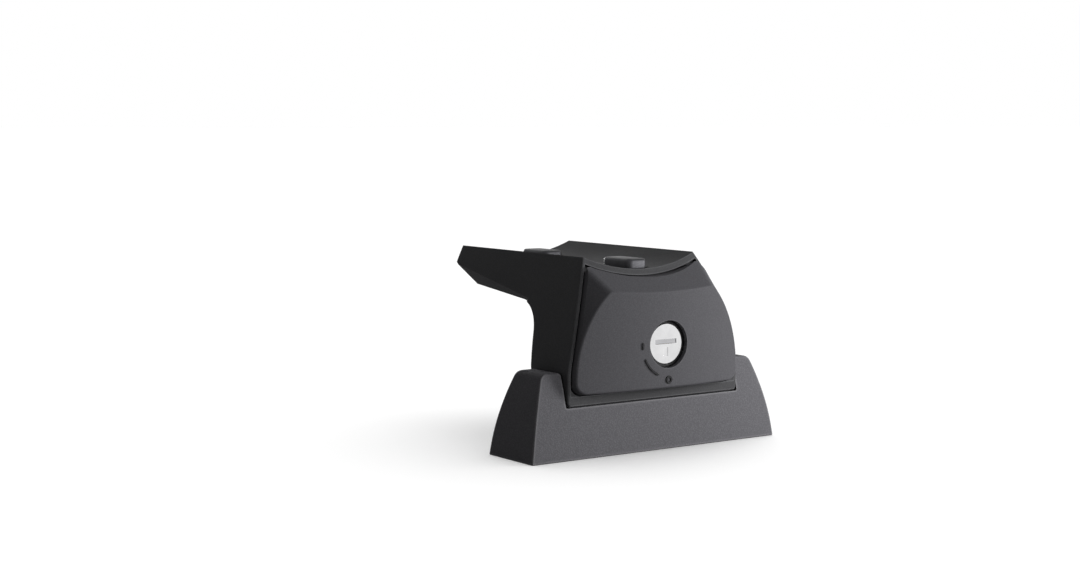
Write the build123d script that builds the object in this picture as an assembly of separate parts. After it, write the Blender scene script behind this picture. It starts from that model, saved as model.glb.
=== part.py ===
from build123d import *
import os

os.makedirs("parts", exist_ok=True)

# Millimetres. X runs along the vehicle, +Y inboard, +Z up.
# The origin is the centre of the base's underside, on the roof.

# Base: a saddle of moulded rubber whose two ends rise as ears beside the leg.
BASE_LENGTH = 123.0
BASE_DEPTH = 30.2
BASE_TOP_LENGTH = 105.0
BASE_TOP_DEPTH = 16.4
BASE_BULGE = 1.2
EAR_TOP = 34.5
EAR_ROUND = 3.8
BASE_EDGE = 1.2
DECK = 20.0
CORE_LENGTH = 7.0
CORE_DEPTH = 11.0
CORE_TOP = 26.0

# Leg: a hollow foot that narrows upwards and reaches inboard as an arm.
LEG_WIDTH = 86.2
LEG_MID_WIDTH = 75.4
LEG_TOP_WIDTH = 56.6
LEG_MID = 55.0
LEG_SHOULDER = 34.0
SHOULDER_ROUND = 12.0
LIP = 77.8
SEAT_DIP = 5.6
FRONT = -12.6
FRONT_LEAN = 10.6
ARM_END = 85.3
ARM_END_FACE = 7.0
ARM_CHAMFER_DEPTH = 16.3
ARM_CHAMFER_RISE = 8.4
ARM_SLOPE = 0.078
ARM_FILLET = 15.0
ARM_FACET = 5.0
ARM_FACET_IN = 3.5
ARM_FACET_CROOK = 1.0
REAR_AT_DECK = 9.8
REAR_LEAN = 0.2
FOOT_GAP = 0.6
FOOT_ROUND = 2.5
FOOT_SEAM = 0.8
FOOT_SEAM_DEPTH = 1.6
LEG_EDGE = 0.8

# Hollows of the leg and its front opening.
WALL = 3.5
SEAT_WALL = 5.0
FLOOR = 6.0
RIM = 1.4
RIM_TOP = 2.4
LEDGE = 4.4
REBATE = 2.4
FRAME_BAND = 4.5
FRAME = 2.6
SILL = 9.5
OPENING_TOP = 61.5
ARM_CAVITY_FRONT = 25.0
ARM_CAVITY_SIDE = 4.5
ARM_RIB = 2.6
ARM_RIB_AT = 44.0

# Cover: a crowned panel with bevelled sides that stands out of the leg's rim.
CROWN = 19.2
CROWN_RADIUS = 210.0
PANEL_WIDTH = 79.6
PANEL_TOP_WIDTH = 50.6
PANEL_BOTTOM = 25.3
PANEL_TOP = 63.6
PANEL_CORNER = 5.0
PANEL_TOP_CORNER = 4.0
PANEL_EDGE = 1.0
BEVEL_FRONT = 19.7
BEVEL_REAR = 5.0
BEVEL_TOP = 74.0
COVER_GAP = 0.5
COVER_SEAT_GAP = 0.4
COVER_WALL = 2.4
PEG_DIAMETER = 3.0
PEG_SPACING = 44.0
PEG_UP = 6.6
MARK_HEIGHT = 0.35
MARK_WIDTH = 0.9
MARK_RADIUS = 13.0
MARK_TICK = 2.6
MARK_ARC_START = 205.0
MARK_ARC_SWEEP = 40.0
MARK_RING = 3.2
MARK_RING_DROP = 1.2

# Lock: a plug that turns in a threaded housing and carries a tongue.
LOCK_UP = 42.9
LOCK_SIDE = 1.9
LOCK_RECESS = 2.1
LOCK_POCKET = 19.2
LOCK_FLANGE = 18.8
LOCK_FLANGE_THICK = 2.3
LOCK_PROUD = 0.4
LOCK_BODY = 16.0
LOCK_HEAD = 16.7
LOCK_HEAD_THICK = 2.1
LOCK_HEAD_CHAMFER = 0.4
LOCK_PLUG = 12.0
LOCK_REAR = 3.0
LOCK_BOSS = 4.0
LOCK_BOSS_WALL = 2.5
LOCK_NUT = 20.0
LOCK_NUT_THICK = 3.0
RUN_FIT = 0.05
SIDE_PLAY = 0.1
KEYWAY_WIDTH = 8.4
KEYWAY_HEIGHT = 1.9
KEYWAY_UP = 0.9
KEYWAY_DEPTH = 11.6
KEY_MOUTH = 10.8
KEY_MOUTH_DEPTH = 0.9
SHUTTER_THICK = 0.5
POINTER_WIDTH = 2.4
POINTER_DEPTH = 0.35
POINTER_FAR = 5.1
POINTER_NEAR = 1.4
WAFER = 0.9
WAFER_WIDTH = 9.2
WAFER_WINDOW = 6.8
WAFER_PITCH = 2.0
WAFER_COUNT = 4
WAFER_FIRST = 4.4
WAFER_CLEARANCE = 0.35
TONGUE_REACH = 21.5
TONGUE_WIDTH = 11.0
TONGUE_THICK = 2.0
TONGUE_GAP = 0.8
TENON = 8.0
TENON_FLAT = 6.4
TONGUE_WASHER = 11.0
TONGUE_WASHER_THICK = 1.0
TONGUE_SCREW = 3.3
TONGUE_SCREW_DEPTH = 5.0
TONGUE_SCREW_HEAD = 7.6
TONGUE_SCREW_RISE = 2.6
TONGUE_SCREW_CROSS = 4.4

# Fasteners.
LEG_BOLT = 8.0
LEG_BOLT_HEAD = 13.0
LEG_BOLT_KEY = 6.0
LEG_BOLT_LENGTH = 25.0
LEG_BOLT_SPACING = 62.0
LEG_NUT = 13.0
LEG_NUT_HEIGHT = 6.5
LEG_WASHER = 15.0
LEG_WASHER_THICK = 1.6
SPRING_WASHER = 14.0
SPRING_WASHER_THICK = 2.0
SPRING_WASHER_SPLIT = 1.2
SLEEVE = 12.0
FLOOR_PLATE_THICK = 2.5
FLOOR_PLATE_MARGIN = 7.0
PLATE_LENGTH = 82.0
PLATE_DEPTH = 18.6
PLATE_THICK = 5.0
PLATE_CORNER = 2.0
ROOF_HOLE = 9.0
ROOF_SINK = 16.4
ROOF_SPACING = 32.0
SEAT_BOLT = 6.0
SEAT_BOLT_FRONT = 7.6
SEAT_BOLT_SPACING = 58.4
SEAT_HEAD_WIDTH = 10.0
SEAT_HEAD_LENGTH = 18.0
SEAT_HEAD_THICK = 4.0
SEAT_HEAD_CORNER = 2.5
SEAT_WASHER = 12.0
SEAT_WASHER_THICK = 1.6
SEAT_NUT = 10.0
SEAT_NUT_HEIGHT = 6.0
SEAT_NUT_PAD = 14.0
SPOT_FACE_DEPTH = 0.2
HOLE_SLACK = 0.6
FIT_SLACK = 0.2
THREAD_SLACK = 0.1
BOLT_TIP = 1.0
HEAD_CHAMFER = 0.6

# Derived positions. FAR is only a length that reaches past everything.
SEAT = LIP - SEAT_DIP
SEAT_RADIUS = ((LEG_TOP_WIDTH / 2) ** 2 + SEAT_DIP**2) / (2 * SEAT_DIP)
SPOT_FACE = SEAT - SPOT_FACE_DEPTH
SEAT_PAD = SPOT_FACE - SEAT_WALL
FLOOR_TOP = DECK + FLOOR
LEDGE_TOP = DECK + LEDGE
PLATE_BOTTOM = DECK - PLATE_THICK
FRAME_REAR = FRONT + REBATE + FRAME
LEG_WASHER_LOW = FLOOR_TOP + FLOOR_PLATE_THICK
SPRING_LOW = LEG_WASHER_LOW + LEG_WASHER_THICK
HEAD_LOW = SPRING_LOW + SPRING_WASHER_THICK
LOCK_FACE = -CROWN + LOCK_RECESS
HEAD_REAR = LOCK_FACE + LOCK_HEAD_THICK
FLANGE_FRONT = LOCK_FACE + LOCK_PROUD
FLANGE_SEAT = FLANGE_FRONT + LOCK_FLANGE_THICK
BOSS_REAR = FLANGE_SEAT + LOCK_BOSS
HOUSING_REAR = -LOCK_REAR
TONGUE_FRONT = HOUSING_REAR + TONGUE_GAP
TONGUE_REAR = TONGUE_FRONT + TONGUE_THICK
SCREW_SEAT = TONGUE_REAR + TONGUE_WASHER_THICK
KEYWAY_AT = LOCK_UP + KEYWAY_UP
SEAT_BOLTS_AT = [SEAT_BOLT_FRONT, SEAT_BOLT_FRONT + SEAT_BOLT_SPACING]
LEG_BOLTS_AT = [-LEG_BOLT_SPACING / 2, LEG_BOLT_SPACING / 2]
ROOF_HOLES_AT = [-ROOF_SPACING / 2, ROOF_SPACING / 2]
PEGS_AT = [-PEG_SPACING / 2, PEG_SPACING / 2]
FAR = 200.0


def prism(face):
    """A flat view carried through the whole object, both ways from its plane."""
    return extrude(face, amount=FAR, both=True)


def round_y(diameter, y_front, y_rear, x=0, z=0):
    """A round rod along Y between two depths."""
    length = y_rear - y_front
    middle = (y_front + y_rear) / 2
    return Pos(x, middle, z) * Rot(90, 0, 0) * Cylinder(diameter / 2, length)


def lock_round(diameter, y_front, y_rear):
    """A round rod on the lock's axis between two depths."""
    return round_y(diameter, y_front, y_rear, LOCK_SIDE, LOCK_UP)


def round_z(diameter, z_low, z_high, x=0, y=0):
    """A round rod along Z between two heights."""
    length = z_high - z_low
    return Pos(x, y, (z_low + z_high) / 2) * Cylinder(diameter / 2, length)


def block(x_size, y_low, y_high, z_low, z_high, x=0):
    """A box centred on x, between stated depths and heights."""
    centre = Pos(x, (y_low + y_high) / 2, (z_low + z_high) / 2)
    return centre * Box(x_size, y_high - y_low, z_high - z_low)


def hexagon_z(flats, z_low, z_high, x=0, y=0):
    """A hexagonal rod along Z between two heights."""
    sketch = Plane.XY.offset(z_low) * Pos(x, y) * RegularPolygon(flats / 2, 6, major_radius=False)
    return extrude(sketch, amount=z_high - z_low)


def group(solids):
    """Separate solids kept together as one node."""
    return Compound(children=solids)


def base_wall(half_low, half_high):
    """One convex wall of the base, from the roof up to the ears' top."""
    middle = ((half_low + half_high) / 2 + BASE_BULGE, EAR_TOP / 2)
    return ThreePointArc((half_low, 0), middle, (half_high, EAR_TOP))


def base_view(low, high):
    """A view of the base: level below and above, with convex sides."""
    right = base_wall(low / 2, high / 2)
    left = mirror(right, Plane.YZ)
    return make_face(
        [
            Line((-low / 2, 0), (low / 2, 0)),
            right,
            Line((high / 2, EAR_TOP), (-high / 2, EAR_TOP)),
            left,
        ]
    )


def is_base_edge(edge):
    """True for the edges round the base's long walls, up one corner, along the top and down."""
    box = edge.bounding_box()
    return box.max.Z > 1 and abs(edge.center().Y) > BASE_TOP_DEPTH / 4


def make_base():
    """The base: both views taken together, then the leg's slot, plate bed, holes and cores."""
    front_face = base_view(BASE_LENGTH, BASE_TOP_LENGTH)
    front_face = fillet(front_face.vertices().group_by(Axis.Y)[-1], EAR_ROUND)
    pad = prism(Plane.XZ * front_face) & prism(Plane.YZ * base_view(BASE_DEPTH, BASE_TOP_DEPTH))
    pad = fillet([e for e in pad.edges() if is_base_edge(e)], BASE_EDGE)
    slot = LEG_WIDTH + 2 * FOOT_GAP
    pad = pad - block(slot, -FAR, FAR, DECK, FAR)
    bed_x = PLATE_LENGTH + 2 * FIT_SLACK
    bed_y = PLATE_DEPTH / 2 + FIT_SLACK
    pad = pad - block(bed_x, -bed_y, bed_y, PLATE_BOTTOM, DECK + 1)
    nut_room = PLATE_BOTTOM - LEG_NUT_HEIGHT - 2 * BOLT_TIP
    for x in LEG_BOLTS_AT:
        pad = pad - hexagon_z(LEG_NUT + 2 * FIT_SLACK, nut_room, DECK, x, 0)
    for x in ROOF_HOLES_AT:
        pad = pad - round_z(ROOF_HOLE, -1, DECK, x, 0)
    ear = (BASE_LENGTH + (BASE_TOP_LENGTH - BASE_LENGTH) * CORE_TOP / EAR_TOP) / 2
    for side in (-1, 1):
        x = side * (slot / 2 + ear) / 2
        pad = pad - block(CORE_LENGTH, -CORE_DEPTH / 2, CORE_DEPTH / 2, -1, CORE_TOP, x)
    return pad


def make_base_plate():
    """Steel plate in the base's bed, with countersunk roof holes and leg bolt holes."""
    plate = block(PLATE_LENGTH, -PLATE_DEPTH / 2, PLATE_DEPTH / 2, PLATE_BOTTOM, DECK)
    plate = fillet(plate.edges().filter_by(Axis.Z), PLATE_CORNER)
    for x in LEG_BOLTS_AT:
        plate = plate - round_z(LEG_BOLT + HOLE_SLACK, 0, FAR, x, 0)
    depth = (ROOF_SINK - ROOF_HOLE) / 2
    for x in ROOF_HOLES_AT:
        sink = Pos(x, 0, DECK - depth / 2) * Cone(ROOF_HOLE / 2, ROOF_SINK / 2, depth)
        plate = plate - round_z(ROOF_HOLE, 0, FAR, x, 0) - sink
    return plate


def make_base_nuts():
    """Hexagon nuts welded under the plate."""
    nuts = []
    for x in LEG_BOLTS_AT:
        nut = hexagon_z(LEG_NUT, PLATE_BOTTOM - LEG_NUT_HEIGHT, PLATE_BOTTOM, x, 0)
        nuts.append(nut - round_z(LEG_BOLT + THREAD_SLACK, 0, FAR, x, 0))
    return group(nuts)


def seat_cylinder(drop):
    """The round underside that the seat follows, grown downwards by drop."""
    radius = SEAT_RADIUS + drop
    return Pos(0, 0, SEAT + SEAT_RADIUS) * Rot(90, 0, 0) * Cylinder(radius, 2 * FAR)


def leg_outline(inset, floor, top=LIP):
    """Front view of the leg, set in at both sides, between a floor and a level top."""
    foot = LEG_WIDTH / 2 - inset
    middle = LEG_MID_WIDTH / 2 - inset
    lip = LEG_TOP_WIDTH / 2 - inset
    face = make_face(
        [
            Line((-foot, floor), (foot, floor)),
            Line((foot, floor), (foot, LEG_SHOULDER)),
            ThreePointArc((foot, LEG_SHOULDER), (middle, LEG_MID), (lip, LIP)),
            Line((lip, LIP), (-lip, LIP)),
            ThreePointArc((-lip, LIP), (-middle, LEG_MID), (-foot, LEG_SHOULDER)),
            Line((-foot, LEG_SHOULDER), (-foot, floor)),
        ]
    )
    shoulders = face.vertices().sort_by(lambda corner: abs(corner.Y - LEG_SHOULDER))[:2]
    shape = prism(Plane.XZ * fillet(shoulders, SHOULDER_ROUND))
    if top < LIP:
        shape = shape - block(2 * FAR, -FAR, FAR, top, FAR)
    return shape


def front_curve(shift):
    """Side view of the leg's front, moved inboard by shift: upright, then leaning in."""
    low = (FRONT + shift, DECK - 1)
    knee = (FRONT + shift, LEG_SHOULDER)
    high = (FRONT + shift + FRONT_LEAN, LIP)
    return [Line(low, knee), TangentArc(knee, high, tangent=(0, 1))], low, high


def front_slab(shift):
    """Everything in front of the leg's front curve moved inboard by shift."""
    curve, low, high = front_curve(shift)
    lines = curve + [
        Line(high, (high[0], FAR)),
        Line((high[0], FAR), (-FAR, FAR)),
        Line((-FAR, FAR), (-FAR, low[1])),
        Line((-FAR, low[1]), low),
    ]
    return prism(Plane.YZ * make_face(lines))


def rear_line(z, shift=0):
    """Depth of the column's rear face at a height."""
    return REAR_AT_DECK + REAR_LEAN * (z - DECK) + shift


def under_line(y):
    """Height of the arm's underside at a depth."""
    knee = ARM_END - ARM_CHAMFER_DEPTH
    return LIP - ARM_END_FACE - ARM_CHAMFER_RISE - ARM_SLOPE * (knee - y)


def leg_half(z):
    """Half the leg's width at a height above its shoulder."""
    foot = LEG_WIDTH / 2
    share = (z - LEG_SHOULDER) / (LIP - LEG_SHOULDER)
    middle = (LEG_MID - LEG_SHOULDER) / (LIP - LEG_SHOULDER)
    chord = foot + (LEG_TOP_WIDTH / 2 - foot) * share
    bulge = LEG_MID_WIDTH / 2 - foot - (LEG_TOP_WIDTH / 2 - foot) * middle
    return chord + bulge * share * (1 - share) / (middle * (1 - middle))


def arm_facet(side):
    """Everything outside the flat that slopes in under one side of the arm, widest at its end."""
    knee = ARM_END - ARM_CHAMFER_DEPTH
    crook = ARM_CAVITY_FRONT
    low = under_line(knee)
    high = low + ARM_FACET
    start = under_line(crook) + ARM_FACET_CROOK
    upper = Vector(side * leg_half(high), knee, high)
    inner = Vector(side * (leg_half(low) - ARM_FACET_IN), knee, low)
    far = Vector(side * leg_half(start), crook, start)
    out = (inner - upper).cross(far - upper)
    if out.X * side < 0:
        out = out * -1
    flat = Plane(origin=upper, x_dir=far - upper, z_dir=out)
    outside = flat * Pos(0, 0, FAR / 4) * Box(FAR, FAR, FAR / 2)
    return outside & block(FAR, crook, FAR, DECK, FAR)


def is_rim_edge(edge):
    """True for the upright edges between the leg's front and its sides."""
    box = edge.bounding_box()
    leans = box.max.Y < FRONT + FRONT_LEAN + 1 and box.size.Z > 5
    return leans and abs(edge.center().X) > LEG_TOP_WIDTH / 2 - 2


def make_leg_outer():
    """The leg's outer form: its front view and its side view taken together."""
    curve, low, high = front_curve(0)
    foot_front = (FRONT, DECK)
    chamfer_high = (ARM_END, LIP - ARM_END_FACE)
    chamfer_low = (ARM_END - ARM_CHAMFER_DEPTH, LIP - ARM_END_FACE - ARM_CHAMFER_RISE)
    at_deck = rear_line(DECK)
    rise = (under_line(at_deck) - DECK) / (1 - ARM_SLOPE * REAR_LEAN)
    crook = (at_deck + REAR_LEAN * rise, DECK + rise)
    side = make_face(
        [
            Line(foot_front, (FRONT, LEG_SHOULDER)),
            curve[1],
            Line(high, (ARM_END, LIP)),
            Line((ARM_END, LIP), chamfer_high),
            Line(chamfer_high, chamfer_low),
            Line(chamfer_low, crook),
            Line(crook, (at_deck, DECK)),
            Line((at_deck, DECK), foot_front),
        ]
    )
    corner = side.vertices().sort_by_distance((crook[0], crook[1], 0))[0]
    side = fillet(corner, ARM_FILLET)
    outer = prism(Plane.YZ * side) & leg_outline(0, DECK)
    low_edges = outer.edges().filter_by(Axis.Y).group_by(Axis.Z)[0]
    outer = fillet(low_edges, FOOT_ROUND)
    outer = outer - arm_facet(-1) - arm_facet(1)
    return fillet([e for e in outer.edges() if is_rim_edge(e)], LEG_EDGE)


def leg_hollows():
    """The hollow column and the hollow arm with its rib, open below."""
    column = leg_outline(WALL, FLOOR_TOP) - front_slab(REBATE + FRAME)
    back = make_face(
        [
            Line((rear_line(0, -WALL), 0), (FAR, 0)),
            Line((FAR, 0), (FAR, FAR)),
            Line((FAR, FAR), (rear_line(FAR, -WALL), FAR)),
            Line((rear_line(FAR, -WALL), FAR), (rear_line(0, -WALL), 0)),
        ]
    )
    column = column - prism(Plane.YZ * back)
    arm = leg_outline(ARM_CAVITY_SIDE, DECK) & block(FAR, ARM_CAVITY_FRONT, ARM_END - WALL, DECK, LIP)
    arm = arm - block(FAR, ARM_RIB_AT - ARM_RIB / 2, ARM_RIB_AT + ARM_RIB / 2, DECK, LIP)
    return [column - seat_cylinder(SEAT_WALL), arm - seat_cylinder(SEAT_WALL)]


def floor_plate_bed():
    """Length, front and rear of the plate on the leg's floor."""
    length = LEG_BOLT_SPACING + 2 * FLOOR_PLATE_MARGIN
    return length, FRAME_REAR + FIT_SLACK, rear_line(FLOOR_TOP, -WALL - 2 * FIT_SLACK)


def make_leg():
    """The leg with its seam over the base, rebate, opening, hollows, holes and seat."""
    body = make_leg_outer() - seat_cylinder(0)
    body = body - block(2 * FAR, -FAR, FRONT + FOOT_SEAM_DEPTH, DECK - 1, DECK + FOOT_SEAM)
    rebate = leg_outline(RIM, LEDGE_TOP) & front_slab(REBATE)
    body = body - (rebate - seat_cylinder(RIM_TOP))
    opening = leg_outline(RIM + FRAME_BAND, DECK + SILL, OPENING_TOP)
    body = body - (opening & front_slab(REBATE + FRAME + 1))
    for hollow in leg_hollows():
        body = body - hollow
    for y in SEAT_BOLTS_AT:
        body = body + round_z(SEAT_NUT_PAD, SEAT_PAD, SEAT - 1, 0, y)
    head = SEAT_HEAD_LENGTH / 2 + HOLE_SLACK
    for y in SEAT_BOLTS_AT:
        body = body - block(SEAT_HEAD_WIDTH + 2 * HOLE_SLACK, y - head, y + head, SPOT_FACE, LIP + 1)
        body = body - round_z(SEAT_BOLT + HOLE_SLACK, SEAT_PAD - 1, LIP, 0, y)
    length, front, rear = floor_plate_bed()
    body = body - block(length + 2 * FIT_SLACK, front, rear, FLOOR_TOP, LEG_WASHER_LOW)
    for x in LEG_BOLTS_AT:
        body = body - round_z(SLEEVE, DECK - 1, FLOOR_TOP + 1, x, 0)
        body = body - round_z(LEG_WASHER + FIT_SLACK / 2, LEG_WASHER_LOW, SPRING_LOW, x, 0)
        body = body - round_z(SPRING_WASHER + FIT_SLACK, SPRING_LOW, HEAD_LOW + LEG_BOLT, x, 0)
    for x in PEGS_AT:
        body = body - round_y(PEG_DIAMETER + 2 * RUN_FIT, FRONT + 1, FRAME_REAR, x, DECK + PEG_UP)
    return body


def make_leg_sleeves():
    """Steel sleeves that take the clamp load through the leg's floor."""
    sleeves = []
    for x in LEG_BOLTS_AT:
        sleeve = round_z(SLEEVE, DECK, FLOOR_TOP, x, 0)
        sleeves.append(sleeve - round_z(LEG_BOLT + HOLE_SLACK, 0, FAR, x, 0))
    return group(sleeves)


def make_floor_plate():
    """Load-spreading plate on the leg's floor."""
    length, front, rear = floor_plate_bed()
    plate = block(length, front, rear, FLOOR_TOP, LEG_WASHER_LOW)
    plate = fillet(plate.edges().filter_by(Axis.Z), PLATE_CORNER)
    for x in LEG_BOLTS_AT:
        plate = plate - round_z(LEG_BOLT + HOLE_SLACK, 0, FAR, x, 0)
    return plate


def make_leg_washers():
    """Flat washers under the leg bolts."""
    rings = []
    for x in LEG_BOLTS_AT:
        ring = round_z(LEG_WASHER, LEG_WASHER_LOW, SPRING_LOW, x, 0)
        rings.append(ring - round_z(LEG_BOLT + HOLE_SLACK, 0, FAR, x, 0))
    return group(rings)


def make_spring_washers():
    """Split washers between the flat washers and the bolt heads."""
    rings = []
    for x in LEG_BOLTS_AT:
        ring = round_z(SPRING_WASHER, SPRING_LOW, HEAD_LOW, x, 0)
        ring = ring - round_z(LEG_BOLT + HOLE_SLACK, 0, FAR, x, 0)
        rings.append(ring - block(SPRING_WASHER_SPLIT, 0, FAR, SPRING_LOW - 1, HEAD_LOW + 1, x))
    return group(rings)


def make_leg_bolts():
    """Socket-head bolts that clamp the leg down to the base."""
    bolts = []
    for x in LEG_BOLTS_AT:
        head = round_z(LEG_BOLT_HEAD, HEAD_LOW, HEAD_LOW + LEG_BOLT, x, 0)
        rim = head.edges().filter_by(GeomType.CIRCLE).sort_by(Axis.Z)[-1]
        head = chamfer(rim, HEAD_CHAMFER)
        shank = round_z(LEG_BOLT, HEAD_LOW - LEG_BOLT_LENGTH, HEAD_LOW + 1, x, 0)
        tip = shank.edges().filter_by(GeomType.CIRCLE).sort_by(Axis.Z)[0]
        shank = chamfer(tip, BOLT_TIP)
        socket = hexagon_z(LEG_BOLT_KEY, HEAD_LOW + LEG_BOLT / 2, FAR, x, 0)
        bolts.append(head + shank - socket)
    return group(bolts)


def make_seat_bolts():
    """T-head bolts that stand in the seat's flats."""
    bolts = []
    low = SEAT_PAD - SEAT_WASHER_THICK - SEAT_NUT_HEIGHT - BOLT_TIP
    half = SEAT_HEAD_LENGTH / 2
    for y in SEAT_BOLTS_AT:
        head = block(SEAT_HEAD_WIDTH, y - half, y + half, SPOT_FACE, SPOT_FACE + SEAT_HEAD_THICK)
        head = fillet(head.edges().filter_by(Axis.Z), SEAT_HEAD_CORNER)
        head = chamfer(head.faces().sort_by(Axis.Z)[-1].edges(), HEAD_CHAMFER)
        shank = round_z(SEAT_BOLT, low, SPOT_FACE + 1, 0, y)
        tip = shank.edges().filter_by(GeomType.CIRCLE).sort_by(Axis.Z)[0]
        bolts.append(head + chamfer(tip, BOLT_TIP))
    return group(bolts)


def make_seat_washers():
    """Washers under the seat, against its pads."""
    rings = []
    for y in SEAT_BOLTS_AT:
        ring = round_z(SEAT_WASHER, SEAT_PAD - SEAT_WASHER_THICK, SEAT_PAD, 0, y)
        rings.append(ring - round_z(SEAT_BOLT + HOLE_SLACK, 0, FAR, 0, y))
    return group(rings)


def make_seat_nuts():
    """Nuts that draw the T-head bolts down."""
    nuts = []
    top = SEAT_PAD - SEAT_WASHER_THICK
    for y in SEAT_BOLTS_AT:
        nut = hexagon_z(SEAT_NUT, top - SEAT_NUT_HEIGHT, top, 0, y)
        nuts.append(nut - round_z(SEAT_BOLT + THREAD_SLACK, 0, FAR, 0, y))
    return group(nuts)


def crown_body(inset):
    """Everything behind the panel's crowned front, moved back by inset."""
    radius = CROWN_RADIUS - inset
    return Pos(0, CROWN_RADIUS - CROWN, LIP / 2) * Cylinder(radius, FAR)


def cover_section(y, half_low, half_high, bottom, top, corner):
    """One upright section of the cover at a depth: rounded corners, arched sides, level top."""
    right = TangentArc((half_low, bottom + corner), (half_high, top), tangent=(0, 1))
    left = mirror(right, Plane.YZ)
    lines = [
        Line((-half_low + corner, bottom), (half_low - corner, bottom)),
        RadiusArc((half_low - corner, bottom), (half_low, bottom + corner), -corner),
        right,
        Line((half_high, top), (-half_high, top)),
        left,
        RadiusArc((-half_low, bottom + corner), (-half_low + corner, bottom), -corner),
    ]
    face = make_face(lines)
    face = fillet(face.vertices().group_by(Axis.Y)[-1], PANEL_TOP_CORNER)
    return Plane.XZ.offset(-y) * face


def cover_bevel(inset):
    """The bevelled form between the panel and the leg's front view, set in all round."""
    corner = PANEL_CORNER - inset / 2
    front = cover_section(
        -BEVEL_FRONT,
        PANEL_WIDTH / 2 - inset,
        PANEL_TOP_WIDTH / 2 - inset,
        PANEL_BOTTOM + inset,
        PANEL_TOP - inset,
        corner,
    )
    share = (BEVEL_TOP - LEG_MID) / (LIP - LEG_MID)
    rear_high = LEG_MID_WIDTH / 2 + (LEG_TOP_WIDTH - LEG_MID_WIDTH) / 2 * share
    rear = cover_section(
        -BEVEL_REAR,
        LEG_WIDTH / 2 - inset,
        rear_high - inset,
        LEDGE_TOP + COVER_GAP + inset,
        BEVEL_TOP - inset,
        corner,
    )
    return loft([front, rear], ruled=True)


def lock_marks():
    """Raised marks round the lock: a tick, an arc for the turn and a ring."""
    tick = Pos(-MARK_RADIUS, 0) * Rectangle(MARK_WIDTH, MARK_TICK)
    arc = trace(CenterArc((0, 0), MARK_RADIUS, MARK_ARC_START, MARK_ARC_SWEEP), MARK_WIDTH)
    ring = Circle(MARK_RING / 2) - Circle(MARK_RING / 4)
    flat = tick + arc + Pos(0, -MARK_RADIUS - MARK_RING_DROP) * ring
    raised = prism(Plane.XZ * Pos(LOCK_SIDE, LOCK_UP) * flat)
    skin = crown_body(-MARK_HEIGHT) - crown_body(COVER_WALL / 4)
    return raised & skin & block(FAR, -FAR, 0, 0, LIP)


def make_cover():
    """The cover: a thin crowned shell with a lock boss, locating pegs and raised marks."""
    room = leg_outline(RIM + COVER_GAP, LEDGE_TOP + COVER_GAP) & front_slab(REBATE - COVER_SEAT_GAP)
    room = room - seat_cylinder(RIM_TOP + COVER_GAP)
    outer = cover_bevel(0) & crown_body(0)
    panel = outer.faces().filter_by(GeomType.CYLINDER).sort_by(SortBy.AREA)[-1]
    outer = fillet(panel.edges(), PANEL_EDGE) & room
    inner = cover_bevel(COVER_WALL) & crown_body(COVER_WALL)
    inner = inner - seat_cylinder(RIM_TOP + COVER_GAP + COVER_WALL)
    shell = outer - inner
    boss_front = -CROWN + COVER_WALL / 2
    shell = shell + lock_round(LOCK_POCKET + 2 * LOCK_BOSS_WALL, boss_front, BOSS_REAR)
    shell = shell - lock_round(LOCK_POCKET, -FAR, FLANGE_SEAT)
    shell = shell - lock_round(LOCK_BODY + 2 * FIT_SLACK, -FAR, 0)
    root = FRONT + REBATE - COVER_SEAT_GAP - 1
    for x in PEGS_AT:
        shell = shell + round_y(PEG_DIAMETER, root, FRAME_REAR - COVER_SEAT_GAP, x, DECK + PEG_UP)
    return shell + lock_marks()


def make_lock_housing():
    """Threaded housing with a flange in the cover's recess."""
    body = lock_round(LOCK_FLANGE, FLANGE_FRONT, FLANGE_SEAT)
    body = body + lock_round(LOCK_BODY, FLANGE_SEAT, HOUSING_REAR)
    body = body - lock_round(LOCK_HEAD + 2 * RUN_FIT, -FAR, HEAD_REAR + SIDE_PLAY)
    return body - lock_round(LOCK_PLUG + 2 * RUN_FIT, -FAR, FAR)


def make_lock_nut():
    """Thin nut that clamps the housing to the cover's boss."""
    centre = Plane.XZ.offset(-BOSS_REAR) * Pos(LOCK_SIDE, LOCK_UP)
    nut = extrude(centre * RegularPolygon(LOCK_NUT / 2, 6, major_radius=False), amount=-LOCK_NUT_THICK)
    return nut - lock_round(LOCK_BODY + THREAD_SLACK, -FAR, FAR)


def wafer_depths():
    """Depths of the plug's wafer slots, from the front."""
    first = LOCK_FACE + WAFER_FIRST
    return [first + i * WAFER_PITCH for i in range(WAFER_COUNT)]


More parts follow.
